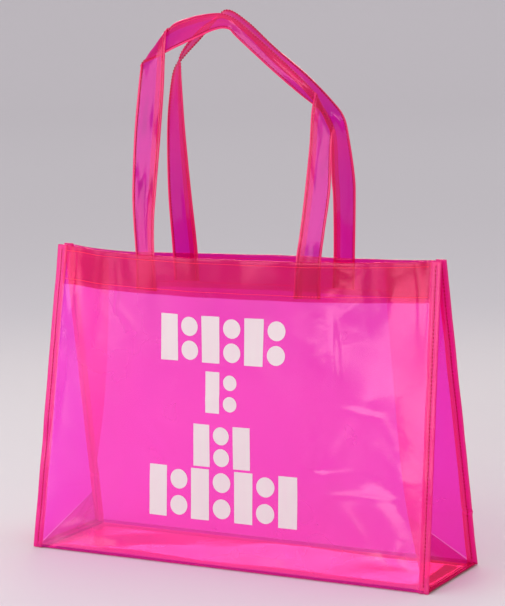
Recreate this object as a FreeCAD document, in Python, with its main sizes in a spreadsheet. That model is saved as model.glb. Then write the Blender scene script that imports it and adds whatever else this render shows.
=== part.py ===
"""A transparent vinyl beach bag: a gusseted tote with a hem, pinched outside seams and two strap handles.

Frame: X across the width, Y through the depth with the front wall on the -Y side, Z up.
The origin is on the floor in the middle of the base. All sizes are millimetres.
"""
import FreeCAD, Part
import math
import os
import Sketcher

V = FreeCAD.Vector
X_AXIS = V(1, 0, 0)
Y_AXIS = V(0, 1, 0)
Z_AXIS = V(0, 0, 1)

doc = FreeCAD.newDocument("BeachBag")

# ---------------------------------------------------------------- driving dimensions
SIZES = [
    # alias, value or formula, what it is
    ("width", "400", "outer width of the base, over the side seams"),
    ("depth", "108", "depth of the base"),
    ("height", "276", "height of the mouth above the floor"),
    ("film", "0.4", "thickness of the vinyl film"),
    ("fold_radius", "3", "radius of the front and back folds of the base"),
    ("seam_width", "10", "width of a pinched outside seam"),
    ("seam_thick", "1.6", "thickness of a seam: four layers of film"),
    ("mouth_width", "387", "outer width at the mouth, drawn in because the mouth is bowed"),
    ("mouth_gap", "12.4", "gap between front and back walls at the mouth's corners"),
    ("mouth_bulge", "36", "how far a wall bows out at the middle of the mouth"),
    ("hem_drop", "34", "depth of the turned-in hem"),
    ("hem_end", "14", "distance from a wall's side to the end of its hem facing"),
    ("hem_top_row", "3.5", "first hem stitch row, below the mouth"),
    ("hem_low_row", "29", "second hem stitch row, below the mouth"),
    ("crease_top_x", "139", "half distance between the gusset creases at the mouth"),
    ("crease_top_z", "268", "height of the top of a gusset crease"),
    ("crease_low_x", "162", "half distance between the lower ends of the creases"),
    ("crease_low_z", "50", "height of the lower end of a crease"),
    ("crease_gap", "1.2", "distance of each crease edge from the middle plane"),
    ("clearance", "0.4", "clearance between pieces that move apart"),
    ("strap_width", "25", "width of a handle strap"),
    ("strap_thick", "1.2", "thickness of a handle strap: three layers of film"),
    ("strap_spacing", "160", "distance between the two ends of one handle"),
    ("strap_lean", "8.2", "lean of a standing handle towards the middle, degrees"),
    ("strap_yaw", "9.7", "turn of a handle end to follow the bowed mouth, degrees"),
    ("handle_rise", "207", "length of a handle's plane from the mouth to the peak"),
    ("peak_shift", "-11", "sideways place of the handles' peak"),
    ("left_shoulder", "172", "height of the left bend above the mouth"),
    ("right_shoulder", "136", "height of the right bend above the mouth"),
    ("stitch_inset", "2.2", "distance of a strap's stitch rows from its edges"),
    ("thread_radius", "0.25", "radius of the sewing thread"),
    ("ink", "0.1", "thickness of the printed layer"),
]

sizes = doc.addObject("Spreadsheet::Sheet", "Sizes")
for row, (alias, value, meaning) in enumerate(SIZES, start=1):
    sizes.set(f"A{row}", alias)
    sizes.set(f"B{row}", value)
    sizes.set(f"C{row}", meaning)
    sizes.setAlias(f"B{row}", alias)
doc.recompute()


SCRATCH_CELL = "E1"


def number(expression):
    """The present value of an expression of the sheet's aliases, worked out by the sheet itself."""
    sizes.set(SCRATCH_CELL, "=" + expression)
    sizes.recompute()
    return float(sizes.get(SCRATCH_CELL))


def cell(expression):
    """Write each alias in an expression as a reference to the sheet."""
    words = sorted((alias for alias, _, _ in SIZES), key=len, reverse=True)
    pieces = []
    word = ""
    for letter in expression + " ":
        if letter.isalnum() or letter == "_":
            word += letter
            continue
        pieces.append(f"Sizes.{word}" if word in words else word)
        pieces.append(letter)
        word = ""
    return "".join(pieces).strip()


def bind(thing, **expressions):
    """Bind properties to expressions of the sheet's aliases. A double underscore stands for a dot."""
    for name, expression in expressions.items():
        thing.setExpression(name.replace("__", "."), cell(expression))


def place(thing, spot=("0", "0", "0"), axis=Z_AXIS, angle="0"):
    """Bind a Placement to three coordinates and a turn about one axis."""
    thing.Placement = FreeCAD.Placement(V(0, 0, 0), FreeCAD.Rotation(axis, 1))
    bind(
        thing,
        Placement__Base__x=spot[0],
        Placement__Base__y=spot[1],
        Placement__Base__z=spot[2],
        Placement__Rotation__Angle=angle,
    )


nodes = []


def node(thing, label):
    """Keep a finished sub-part under its own name."""
    thing.Label = label
    nodes.append(thing)
    return thing


# ---------------------------------------------------------------- places worked out from the sizes
def seam_x(level):
    """Distance from the middle plane to the stitch line of a corner seam, at a height."""
    return f"(width/2 - seam_width/2 - (width - mouth_width)/2*({level})/height)"


def wall_x(level):
    """Half width of a wall between its seams, at a height."""
    return f"({seam_x(level)} - seam_width/2)"


def wall_y(level):
    """Distance from the middle plane to the outer face of a wall beside its seams, at a height."""
    return f"(depth/2 - (depth - mouth_gap)/2*({level})/height)"


def bulge(level):
    """How far a wall bows out at its middle, at a height."""
    return f"(mouth_bulge*({level})/height)"


def bow_radius(level, inset="0"):
    """Radius of the bowed wall at a height, from its chord and its bulge."""
    half = f"({wall_x(level)})"
    return f"(({half}*{half} + {bulge(level)}*{bulge(level)})/(2*{bulge(level)}) - ({inset}))"


def between(start, end, share):
    """A place part of the way from one to another."""
    return f"(({start})*(1 - {share}) + ({end})*{share})"


FOLD_TOP = "fold_radius"
WALL_FOOT = "(fold_radius + clearance)"
HEM_FOOT = "(height - hem_drop)"


def handle_y(level):
    """Distance from the middle plane to the middle of a handle end, behind the hem, at a height."""
    share = f"(strap_spacing/2/{wall_x(level)})"
    return f"({wall_y(level)} + {bulge(level)}*(1 - {share}^2) - 2*film - clearance - strap_thick/2)"


# ---------------------------------------------------------------- sketches
def body(name):
    return doc.addObject("PartDesign::Body", name)


def sketch_on(owner, role, name, level="0"):
    """A sketch on one of a body's own origin planes, raised along the plane's normal."""
    sketch = owner.newObject("Sketcher::SketchObject", name)
    plane = next(one for one in owner.Origin.OriginFeatures if one.Role == role)
    sketch.AttachmentSupport = (plane, [""])
    sketch.MapMode = "FlatFace"
    bind(sketch, AttachmentOffset__Base__z=level)
    return sketch


def drive(sketch, kind, edge, end, value):
    """Add one dimension to a sketch, bound to the sheet."""
    where = (edge, end) if end else (edge,)
    index = sketch.addConstraint(Sketcher.Constraint(kind, *where, number(value)))
    sketch.setExpression(f"Constraints[{index}]", cell(value))


def pin_point(sketch, edge, end, spot):
    drive(sketch, "DistanceX", edge, end, spot[0])
    drive(sketch, "DistanceY", edge, end, spot[1])


def polyline(sketch, corners, closed=True):
    """Straight edges through corners, every corner pinned to expressions of the sheet."""
    count = len(corners)
    last = count if closed else count - 1
    spots = [V(number(x), number(y), 0) for x, y in corners]
    for edge in range(last):
        sketch.addGeometry(Part.LineSegment(spots[edge], spots[(edge + 1) % count]), False)
    for edge in range(last):
        if edge + 1 < last or closed:
            sketch.addConstraint(Sketcher.Constraint("Coincident", edge, 2, (edge + 1) % last, 1))
        pin_point(sketch, edge, 1, corners[edge])
    if not closed:
        pin_point(sketch, last - 1, 2, corners[last])


def rectangle(sketch, left, right, front, back):
    polyline(sketch, [(left, front), (right, front), (right, back), (left, back)])


def crescent(sketch, level, layer, thick, trim="0"):
    """The plan of a bowed wall at a height: two equal arcs, joined by short ends.

    layer is the distance of the outer arc behind the wall's outer face, and trim shortens both ends.
    """
    radius = bow_radius(level)
    half = f"({wall_x(level)} - ({trim}))"
    centre = f"(-{wall_y(level)} - {bulge(level)} + {radius} + ({layer}))"
    span = math.asin(number(f"{half}/{radius}"))
    down = -math.pi / 2
    for behind in ("0", thick):
        circle = Part.Circle(V(0, number(f"{centre} + ({behind})"), 0), Z_AXIS, number(radius))
        sketch.addGeometry(Part.ArcOfCircle(circle, down - span, down + span), False)
    front_arc, back_arc = sketch.Geometry
    sketch.addGeometry(Part.LineSegment(front_arc.EndPoint, back_arc.EndPoint), False)
    sketch.addGeometry(Part.LineSegment(back_arc.StartPoint, front_arc.StartPoint), False)
    joins = [(0, 2, 2, 1), (2, 2, 1, 2), (1, 1, 3, 1), (3, 2, 0, 1)]
    for first, first_end, second, second_end in joins:
        sketch.addConstraint(Sketcher.Constraint("Coincident", first, first_end, second, second_end))
    for edge, behind in ((0, "0"), (1, thick)):
        pin_point(sketch, edge, 3, ("0", f"({centre} + ({behind}))"))
        drive(sketch, "Radius", edge, 0, radius)
        drive(sketch, "DistanceX", edge, 1, f"-{half}")
        drive(sketch, "DistanceX", edge, 2, half)


# ---------------------------------------------------------------- ways of making a piece
def loft(label, low, high, draw_low, draw_high, turned=False):
    """A straight-sided loft between two plans, in its own body. turned makes the back wall's twin."""
    owner = body(label)
    first = sketch_on(owner, "XY_Plane", label + "_low_plan", low)
    draw_low(first)
    second = sketch_on(owner, "XY_Plane", label + "_high_plan", high)
    draw_high(second)
    doc.recompute()
    shape = owner.newObject("PartDesign::AdditiveLoft", label + "_loft")
    shape.Profile = (first, [""])
    shape.Sections = [(second, [""])]
    shape.Ruled = True
    place(owner, angle="180" if turned else "0")
    return owner


def pipe(label, spine_corners, draw_profile, start, mitred=True):
    """A section carried along a bent path in the XZ plane, with mitred corners."""
    owner = body(label)
    spine = sketch_on(owner, "XZ_Plane", label + "_path")
    polyline(spine, spine_corners, closed=False)
    profile = sketch_on(owner, "XY_Plane", label + "_section", start)
    draw_profile(profile)
    doc.recompute()
    shape = owner.newObject("PartDesign::AdditivePipe", label + "_pipe")
    shape.Profile = (profile, [""])
    shape.Spine = (spine, [f"Edge{index + 1}" for index in range(len(spine_corners) - 1)])
    shape.Transition = "Right corner" if mitred else "Transformed"
    return owner


def line(label, start, end):
    edge = doc.addObject("Part::Line", label)
    bind(edge, X1=start[0], Y1=start[1], Z1=start[2], X2=end[0], Y2=end[1], Z2=end[2])
    return edge


def leaf(label, outer, inner, signs, layer="0"):
    """A film stretched between two edges, thickened towards the outside of the gusset.

    signs mirror it in X and Y. layer moves it towards the inside of the bag.
    """
    side, face = signs
    push = (0.5 * side, -0.86 * face)

    def mirrored(spot):
        x, y, z = spot
        return (
            f"({side}*({x}) - ({layer})*{push[0]})",
            f"({face}*({y}) - ({layer})*{push[1]})",
            z,
        )

    edges = []
    for name, ends in (("_outer_edge", outer), ("_inner_edge", inner)):
        edges.append(line(label + name, mirrored(ends[0]), mirrored(ends[1])))
    skin = doc.addObject("Part::RuledSurface", label + "_skin")
    skin.Curve1 = (edges[0], ["Edge1"])
    skin.Curve2 = (edges[1], ["Edge1"])
    piece = doc.addObject("Part::Extrusion", label)
    piece.Base = skin
    piece.DirMode = "Custom"
    piece.Dir = V(push[0], push[1], 0)
    piece.Solid = True
    bind(piece, LengthFwd="film")
    return piece


def box(label, length, width, height, spot, axis=Z_AXIS, angle="0"):
    piece = doc.addObject("Part::Box", label)
    bind(piece, Length=length, Width=width, Height=height)
    place(piece, spot, axis, angle)
    return piece


def rod(label, radius, length, spot, axis, angle):
    piece = doc.addObject("Part::Cylinder", label)
    bind(piece, Radius=radius, Height=length)
    place(piece, spot, axis, angle)
    return piece


def group(label, pieces, turned=False):
    """Several separate solids under one name."""
    bundle = doc.addObject("Part::Compound", label)
    bundle.Links = pieces
    place(bundle, angle="180" if turned else "0")
    return bundle


# ---------------------------------------------------------------- the base
def make_base():
    """The floor of the main sheet, with its front and back folds turned up."""
    owner = body("base_panel")
    section = sketch_on(owner, "YZ_Plane", "base_panel_section")
    outer = number("fold_radius")
    inner = number("fold_radius - film")
    flat = number("depth/2 - fold_radius")
    quarter = math.pi / 2
    right = V(flat, outer, 0)
    left = V(-flat, outer, 0)
    section.addGeometry(Part.LineSegment(V(-flat, 0, 0), V(flat, 0, 0)), False)
    section.addGeometry(Part.ArcOfCircle(Part.Circle(right, Z_AXIS, outer), -quarter, 0), False)
    section.addGeometry(Part.LineSegment(V(flat + outer, outer, 0), V(flat + inner, outer, 0)), False)
    section.addGeometry(Part.ArcOfCircle(Part.Circle(right, Z_AXIS, inner), -quarter, 0), False)
    section.addGeometry(Part.LineSegment(V(flat, outer - inner, 0), V(-flat, outer - inner, 0)), False)
    section.addGeometry(Part.ArcOfCircle(Part.Circle(left, Z_AXIS, inner), 2 * quarter, 3 * quarter), False)
    section.addGeometry(Part.LineSegment(V(-flat - inner, outer, 0), V(-flat - outer, outer, 0)), False)
    section.addGeometry(Part.ArcOfCircle(Part.Circle(left, Z_AXIS, outer), 2 * quarter, 3 * quarter), False)
    joins = [(0, 2, 1, 1), (1, 2, 2, 1), (2, 2, 3, 2), (3, 1, 4, 1)]
    joins += [(4, 2, 5, 2), (5, 1, 6, 1), (6, 2, 7, 1), (7, 2, 0, 1)]
    for first, first_end, second, second_end in joins:
        section.addConstraint(Sketcher.Constraint("Coincident", first, first_end, second, second_end))
    for first, second in ((1, 3), (7, 5)):
        section.addConstraint(Sketcher.Constraint("Coincident", first, 3, second, 3))
    flat_end = "(depth/2 - fold_radius)"
    for outer_arc, inner_arc, centre_y in ((1, 3, flat_end), (7, 5, f"-{flat_end}")):
        pin_point(section, outer_arc, 3, (centre_y, "fold_radius"))
        drive(section, "Radius", outer_arc, 0, "fold_radius")
        drive(section, "Radius", inner_arc, 0, "fold_radius - film")
    for edge in (0, 4):
        drive(section, "DistanceX", edge, 1, flat_end if edge else f"-{flat_end}")
        drive(section, "DistanceX", edge, 2, f"-{flat_end}" if edge else flat_end)
    for edge in (2, 6):
        drive(section, "DistanceY", edge, 1, "fold_radius")
        drive(section, "DistanceY", edge, 2, "fold_radius")
    doc.recompute()
    pad = owner.newObject("PartDesign::Pad", "base_panel_pad")
    pad.Profile = section
    pad.SideType = "Symmetric"
    bind(pad, Length="width - 2*seam_width")
    place(owner)
    node(owner, "base_panel")


def make_base_seam(name, side):
    """A pinched seam along one side of the base, lying on the floor, and its row of thread."""
    left_edge = f"({side}*(width/2 - seam_width/2) - seam_width/2)"
    length = "(depth - 2*fold_radius)"
    seam = box(
        f"{name}_base_seam",
        "seam_width",
        length,
        "seam_thick",
        (left_edge, f"-{length}/2", "0"),
    )
    node(seam, f"{name}_base_seam")
    thread_x = f"{side}*(width/2 - seam_width/2 + thread_radius*4)"
    thread = rod(
        f"{name}_base_thread",
        "thread_radius",
        length,
        (thread_x, f"{length}/2", "seam_thick + thread_radius*1.2"),
        X_AXIS,
        "90",
    )
    node(thread, f"{name}_base_thread")


# ---------------------------------------------------------------- the gussets
def make_gusset(name, side):
    """One side gusset: two upper leaves that meet at the crease, their hems, and the folded foot."""
    seam_back = "(seam_thick + clearance)"
    for face_name, face in (("front", -1), ("back", 1)):
        signs = (side, face)
        low_seam = (seam_x(WALL_FOOT), f"({wall_y(WALL_FOOT)} - {seam_back})", WALL_FOOT)
        top_seam = (seam_x("height"), f"({wall_y('height')} - {seam_back})", "height")
        low_crease = ("crease_low_x", "crease_gap", "crease_low_z")
        top_crease = ("crease_top_x", "crease_gap", "crease_top_z")
        label = f"{name}_gusset_{face_name}_leaf"
        node(leaf(label, (low_seam, top_seam), (low_crease, top_crease), signs), label)

        share = f"(hem_drop/(height - {WALL_FOOT}))"
        hem_seam = [between(top, low, share) for top, low in zip(top_seam, low_seam)]
        hem_crease = [between(top, low, share) for top, low in zip(top_crease, low_crease)]
        ends = []
        for across in ("0.2", "0.97"):
            foot = tuple(between(a, b, across) for a, b in zip(hem_seam, hem_crease))
            head = tuple(between(a, b, across) for a, b in zip(top_seam, top_crease))
            ends.append((foot, head))
        label = f"{name}_gusset_{face_name}_hem"
        node(leaf(label, ends[0], ends[1], signs, "film*1.25"), label)

    foot = body(f"{name}_gusset_foot_leaf")
    outline = sketch_on(foot, "YZ_Plane", f"{name}_gusset_foot_outline")
    reach = "(width/2 - seam_width/2 - crease_low_x)"
    slope = f"(sqrt({reach}^2 + (crease_low_z - seam_thick)^2) - 2*clearance)"
    half_base = "(depth/2 - fold_radius - seam_thick)"
    polyline(outline, [(f"-{half_base}", "0"), (half_base, "0"), ("0", slope)])
    doc.recompute()
    pad = foot.newObject("PartDesign::Pad", f"{name}_gusset_foot_pad")
    pad.Profile = outline
    bind(pad, Length="film")
    lean = f"atan({reach}/(crease_low_z - seam_thick))"
    place(
        foot,
        (f"{side}*(width/2 - seam_width/2 - clearance) - film/2", "0", "(seam_thick + clearance)"),
        Y_AXIS,
        f"{-side}*{lean}",
    )
    node(foot, f"{name}_gusset_foot_leaf")


# ---------------------------------------------------------------- the walls
def make_wall(name, turned):
    """A wall of the main sheet, its turned-in hem, its two corner seams and their thread."""

    def wall_low(sketch):
        half = wall_x(WALL_FOOT)
        front = f"-{wall_y(WALL_FOOT)}"
        rectangle(sketch, f"-{half}", half, front, f"({front} + film)")

    def wall_high(sketch):
        crescent(sketch, "height", "0", "film")

    node(loft(f"{name}_panel", WALL_FOOT, "height", wall_low, wall_high, turned), f"{name}_panel")

    def hem_low(sketch):
        crescent(sketch, HEM_FOOT, "film*1.25", "film", "hem_end")

    def hem_high(sketch):
        crescent(sketch, "height", "film*1.25", "film", "hem_end")

    node(loft(f"{name}_hem", HEM_FOOT, "height", hem_low, hem_high, turned), f"{name}_hem")

    rows = []
    for row, drop in (("top", "hem_top_row"), ("low", "hem_low_row")):
        level = f"(height - {drop})"
        radius = bow_radius(level, "-thread_radius*1.4")
        ring = doc.addObject("Part::Torus", f"{name}_hem_{row}_row")
        half_turn = f"(asin(({wall_x(level)} - 1)/{radius}))"
        bind(ring, Radius1=radius, Radius2="thread_radius", Angle3=f"2*{half_turn}")
        centre = f"({radius} - thread_radius*1.4 - {bulge(level)} - {wall_y(level)})"
        place(ring, ("0", centre, level), Z_AXIS, f"270 deg - {half_turn}")
        rows.append(ring)
    node(group(f"{name}_hem_threads", rows, turned), f"{name}_hem_threads")

    for side_name, side in (("left", -1), ("right", 1)):
        twin = -side if turned else side
        make_corner_seam(f"{name}_{side_name}", twin, turned)


def make_corner_seam(name, side, turned):
    """A pinched seam up one corner of the bag, with its row of thread on the outside."""

    def strip(level, half_width, front, thick):
        def draw(sketch):
            middle = f"({side}*{seam_x(level)})"
            y_front = f"(-{wall_y(level)} + ({front}))"
            rectangle(
                sketch,
                f"({middle} - {half_width})",
                f"({middle} + {half_width})",
                y_front,
                f"({y_front} + {thick})",
            )

        return draw

    seam = loft(
        f"{name}_seam",
        WALL_FOOT,
        "height",
        strip(WALL_FOOT, "seam_width/2", "0", "seam_thick"),
        strip("height", "seam_width/2", "0", "seam_thick"),
        turned,
    )
    node(seam, f"{name}_seam")
    top = "(height - hem_top_row)"
    thread = loft(
        f"{name}_seam_thread",
        "(fold_radius*2)",
        top,
        strip("(fold_radius*2)", "thread_radius", "-thread_radius*2.2", "thread_radius*2"),
        strip(top, "thread_radius", "-thread_radius*2.2", "thread_radius*2"),
        turned,
    )
    node(thread, f"{name}_seam_thread")


def make_handle(name, face, turned):
    """One strap handle: a flat band bent to a peak, its two ends inside the hem, and its stitch rows."""
    half = "strap_spacing/2"
    start = "(clearance*2)"
    corners = [
        (f"-{half}", start),
        (f"-{half}", "left_shoulder"),
        ("peak_shift", "handle_rise"),
        (half, "right_shoulder"),
        (half, start),
    ]

    def band(sketch):
        rectangle(
            sketch,
            f"(-{half} - strap_width/2)",
            f"(-{half} + strap_width/2)",
            "-strap_thick/2",
            "strap_thick/2",
        )

    spot = ("0", f"{face}*{handle_y('height')}", "height")
    lean = f"{face}*strap_lean"
    handle = pipe(f"{name}_handle", corners, band, start)
    place(handle, spot, X_AXIS, lean)
    node(handle, f"{name}_handle")

    rows = []
    for row, side in (("left", -1), ("right", 1)):

        def stitch(sketch):
            middle = f"(-{half} + {side}*(strap_width/2 - stitch_inset))"
            off = f"({face}*(strap_thick/2 + thread_radius*1.2))"
            centre = V(number(middle), number(off), 0)
            sketch.addGeometry(Part.Circle(centre, Z_AXIS, number("thread_radius")), False)
            pin_point(sketch, 0, 3, (middle, off))
            drive(sketch, "Radius", 0, 0, "thread_radius")

        one = pipe(f"{name}_handle_{row}_row", corners, stitch, start)
        rows.append(one)
    threads = group(f"{name}_handle_threads", rows)
    place(threads, spot, X_AXIS, lean)
    node(threads, f"{name}_handle_threads")

    def tab_plan(side, level):
        """A strap's section at a height, turned to follow the bowed wall."""
        along = ("cos(strap_yaw)*strap_width/2", f"{side}*sin(strap_yaw)*strap_width/2")
        across = (f"-{side}*sin(strap_yaw)*strap_thick/2", "cos(strap_yaw)*strap_thick/2")

        def draw(sketch):
            corners = []
            for a, b in ((-1, -1), (1, -1), (1, 1), (-1, 1)):
                x = f"({side}*{half} + {a}*{along[0]} + {b}*{across[0]})"
                y = f"(-{handle_y(level)} + {a}*{along[1]} + {b}*{across[1]})"
                corners.append((x, y))
            polyline(sketch, corners)

        return draw

    tabs = []
    for side_name, side in (("left", -1), ("right", 1)):
        label = f"{name}_handle_{side_name}_tab"
        tabs.append(loft(label, HEM_FOOT, "height", tab_plan(side, HEM_FOOT), tab_plan(side, "height")))
    node(group(f"{name}_handle_tabs", tabs, turned), f"{name}_handle_tabs")


# ---------------------------------------------------------------- the printed motif
# Four centred rows of plain shapes: the row's height above the floor, its own height, width and shape count.
MOTIF_ROWS = [(205, 43, 125, 6), (158, 38, 32, 2), (110, 39, 57, 3), (66, 47, 149, 7)]
MOTIF_GAP = 3.5


def make_print():
    """A thin printed layer on the front wall: bars and pairs of discs, cut from one bowed film."""

    def ink_plan(level):
        def draw(sketch):
            crescent(sketch, level, "-ink*1.2", "ink", "hem_end")

        return draw

    low = "(fold_radius*4)"
    top = "(height - hem_drop)"
    film = loft("print_film", low, top, ink_plan(low), ink_plan(top))

    cutters = []
    for row, (level, tall, wide, count) in enumerate(MOTIF_ROWS):
        cell_width = (wide - MOTIF_GAP * (count - 1)) / count
        for column in range(count):
            x = -wide / 2 + column * (cell_width + MOTIF_GAP)
            if column % 2 == 0:
                bar = doc.addObject("Part::Box", f"bar_{row}_{column}")
                bar.Length = cell_width
                bar.Width = 60
                bar.Height = tall
                bar.Placement.Base = V(x, -70, level - tall / 2)
                cutters.append(bar)
                continue
            for step in (-1, 1):
                disc = doc.addObject("Part::Cylinder", f"disc_{row}_{column}_{step + 1}")
                disc.Radius = cell_width / 2
                disc.Height = 60
                middle = V(x + cell_width / 2, -70, level + step * (tall - cell_width) / 2)
                disc.Placement = FreeCAD.Placement(middle, FreeCAD.Rotation(X_AXIS, -90))
                cutters.append(disc)
    shapes = doc.addObject("Part::Compound", "motif_shapes")
    shapes.Links = cutters
    printed = doc.addObject("Part::Common", "front_print")
    printed.Base = film
    printed.Tool = shapes
    node(printed, "front_print")


make_base()
for side_name, side in (("left", -1), ("right", 1)):
    make_base_seam(side_name, side)
    make_gusset(side_name, side)
for wall_name, face in (("front", -1), ("back", 1)):
    make_wall(wall_name, turned=face > 0)
    make_handle(wall_name, face, turned=face > 0)
make_print()
doc.recompute()

# ---------------------------------------------------------------- checks, then the files
faults = [one.Name for one in doc.Objects if "Invalid" in one.State or "Error" in one.State]
for piece in nodes:
    if piece.Shape.isNull() or not piece.Shape.isValid():
        faults.append(piece.Label)
if faults:
    raise SystemExit("failed: " + ", ".join(faults))

os.makedirs("parts", exist_ok=True)
for piece in nodes:
    piece.Shape.exportStep(os.path.join("parts", piece.Label + ".step"))
    bounds = piece.Shape.BoundBox
    print(
        f"{piece.Label:28s} solids {len(piece.Shape.Solids)} volume {piece.Shape.Volume:9.1f} mm3"
        f"  x {bounds.XMin:7.1f} {bounds.XMax:7.1f}  y {bounds.YMin:6.1f} {bounds.YMax:6.1f}"
        f"  z {bounds.ZMin:6.1f} {bounds.ZMax:6.1f}"
    )
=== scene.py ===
"""The looks of a transparent vinyl beach bag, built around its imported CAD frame.

X runs across the bag, Y through its depth with the front wall on the -Y side, and Z up. Lengths are in
metres, except in the tables that say millimetres.
"""

import math

import bpy
from mathutils import Matrix, Vector, noise


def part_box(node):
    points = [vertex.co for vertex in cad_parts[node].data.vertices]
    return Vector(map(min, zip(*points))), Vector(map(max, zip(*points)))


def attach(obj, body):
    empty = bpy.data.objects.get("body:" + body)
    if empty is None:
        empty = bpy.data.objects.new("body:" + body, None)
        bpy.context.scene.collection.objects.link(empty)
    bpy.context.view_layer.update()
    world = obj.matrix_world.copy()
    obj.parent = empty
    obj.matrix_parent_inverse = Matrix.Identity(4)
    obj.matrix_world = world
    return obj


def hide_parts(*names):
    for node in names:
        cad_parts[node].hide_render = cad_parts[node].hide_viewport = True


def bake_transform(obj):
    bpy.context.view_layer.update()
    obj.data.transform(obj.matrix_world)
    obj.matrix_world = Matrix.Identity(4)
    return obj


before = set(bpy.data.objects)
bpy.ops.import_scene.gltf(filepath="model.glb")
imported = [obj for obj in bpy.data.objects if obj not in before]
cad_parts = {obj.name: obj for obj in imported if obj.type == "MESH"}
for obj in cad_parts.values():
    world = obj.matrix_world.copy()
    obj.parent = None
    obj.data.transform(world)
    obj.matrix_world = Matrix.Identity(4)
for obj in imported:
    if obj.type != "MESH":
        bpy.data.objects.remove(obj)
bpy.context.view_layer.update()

MM = 0.001
FRONT = -1
BACK = 1
LEFT = -1
RIGHT = 1
WALL_NAMES = {FRONT: "front", BACK: "back"}
END_NAMES = {LEFT: "left", RIGHT: "right"}

# ---------------------------------------------------------------- sizes
# Read from the frame where it has them.
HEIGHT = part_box("front_panel")[1].z
WALL_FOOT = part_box("front_panel")[0].z
HALF_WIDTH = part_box("right_base_seam")[1].x
HALF_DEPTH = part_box("base_panel")[1].y
HEM_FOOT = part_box("front_hem")[0].z
FILM = 0.4 * MM
FOLD_RADIUS = 3 * MM
SEAM_WIDTH = 10 * MM
SEAM_THICK = 1.6 * MM
# How far the film of a wall or a hem runs on under the seams beside it.
TUCK = 2 * MM
# How far a corner seam leans inwards on its way up, and the half depth of the bag beside it at the mouth.
MOUTH_DRAW = 6.5 * MM
MOUTH_HALF_GAP = 6.2 * MM
# How far a wall bows out at the middle of the mouth.
MOUTH_BULGE = 36 * MM
# How far the mouth sags in the middle of a wall, and how much more of it is on the left of the middle.
MOUTH_SAG = {FRONT: 1.6 * MM, BACK: 7 * MM}
MOUTH_LOPSIDE = {FRONT: 0, BACK: 0.4}


def seam_x(z):
    """Distance from the middle plane to the stitch line of a corner seam."""
    return HALF_WIDTH - SEAM_WIDTH / 2 - MOUTH_DRAW * z / HEIGHT


def wall_x(z):
    """Half width of a wall between its seams."""
    return seam_x(z) - SEAM_WIDTH / 2


def wall_y(z):
    """Distance from the middle plane to the outer face of a wall beside its seams."""
    return HALF_DEPTH - (HALF_DEPTH - MOUTH_HALF_GAP) * z / HEIGHT


def bow(x, z):
    """How far a wall bows out at a place on it."""
    across = min(abs(x) / wall_x(z), 1)
    return MOUTH_BULGE * z / HEIGHT * (1 - across * across)


def ease(value):
    """A smooth step from 0 to 1."""
    value = max(0.0, min(1.0, value))
    return value * value * (3 - 2 * value)


def segment_distance(x, z, start, end):
    """Distance from a point to a segment, and how far along the segment it is, from 0 to 1."""
    dx = end[0] - start[0]
    dz = end[1] - start[1]
    along = ((x - start[0]) * dx + (z - start[1]) * dz) / (dx * dx + dz * dz)
    along = max(0.0, min(1.0, along))
    return math.hypot(x - start[0] - along * dx, z - start[1] - along * dz), along


# Creases that storage left in a wall: the points of each in millimetres, its height and its half width.
CREASES = {
    FRONT: [
        ([(84, 74), (128, 77), (176, 76)], 0.5, 2.2),
        ([(101, 246), (106, 190), (110, 151)], 1.3, 5.0),
        ([(104, 152), (124, 149), (150, 144), (164, 118)], 0.8, 3.2),
        ([(118, 66), (132, 48), (140, 36)], 0.8, 5.0),
        ([(-118, 232), (-96, 214), (-88, 190)], 0.5, 4.0),
        ([(-60, 168), (-20, 150), (30, 156)], 0.4, 4.0),
        ([(-114, 268), (-112, 244), (-116, 216)], 0.8, 1.8),
        ([(56, 100), (96, 92), (132, 98)], 0.5, 3.0),
        ([(-178, 16), (-150, 26), (-120, 20)], 0.9, 4.5),
        ([(178, 14), (168, 28), (172, 44)], 1.4, 4.0),
        ([(164, 10), (152, 24), (140, 18)], 1.0, 4.5),
    ],
    BACK: [
        ([(-170, 78), (-110, 76), (-40, 79)], 0.5, 2.2),
        ([(-104, 240), (-110, 180), (-104, 140)], 1.0, 5.0),
        ([(-60, 60), (0, 44), (70, 58)], 0.6, 5.0),
    ],
}


def crease(x, z, side):
    """The rise of a wall's storage creases at a place on it."""
    rise = 0.0
    for points, height, half_width in CREASES[side]:
        nearest = math.inf
        share = 0.0
        runs = len(points) - 1
        for run in range(runs):
            start = (points[run][0] * MM, points[run][1] * MM)
            end = (points[run + 1][0] * MM, points[run + 1][1] * MM)
            distance, along = segment_distance(x, z, start, end)
            if distance < nearest:
                nearest = distance
                share = (run + along) / runs
        if nearest < 4 * half_width * MM:
            fade = math.sin(math.pi * min(max(share, 0.06), 0.94))
            rise += height * MM * fade * math.exp(-((nearest / (half_width * MM)) ** 2))
    return rise


def ripple(x, z, side):
    """The soft waves of slack film in a wall: long and shallow, with a few sharper ridges.

    Each noise is scaled by how fast it varies across and up the wall, and by its height in millimetres. The
    front is crumpled most at the foot of its right half.
    """
    place = Vector((x * 9, side * 3.7, z * 7))
    soft = noise.noise(place) * 3.2 + noise.noise(place * 2.3 + Vector((5, 1, 2))) * 1.5
    ridges = (0.5 - abs(noise.noise(place * 3.1 + Vector((2, 8, 4))))) * 0.6
    crumple = ease((-side * x / MM - 20) / 120) * ease((190 - z / MM) / 90)
    warp = noise.noise(Vector((x * 15, side * 2.2, z * 13)))
    fine = noise.noise(Vector((x * 27 + warp * 2.4, side * 9.1, z * 12 + warp * 1.6))) * 2.1 * crumple
    small = noise.noise(Vector((x * 30, side * 1.3, z * 24))) * 0.25
    return (soft + ridges + fine + small) * MM


def mouth_wave(x, z, side):
    """The waves that run down from the mouth, through the hem."""
    near_mouth = ease((z / MM - 150) / 110)
    wave = math.sin(x * 118 + side * 0.9) * 0.8 + math.sin(x * 61 + 1.7 - side) * 1.1
    return wave * near_mouth * MM


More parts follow.
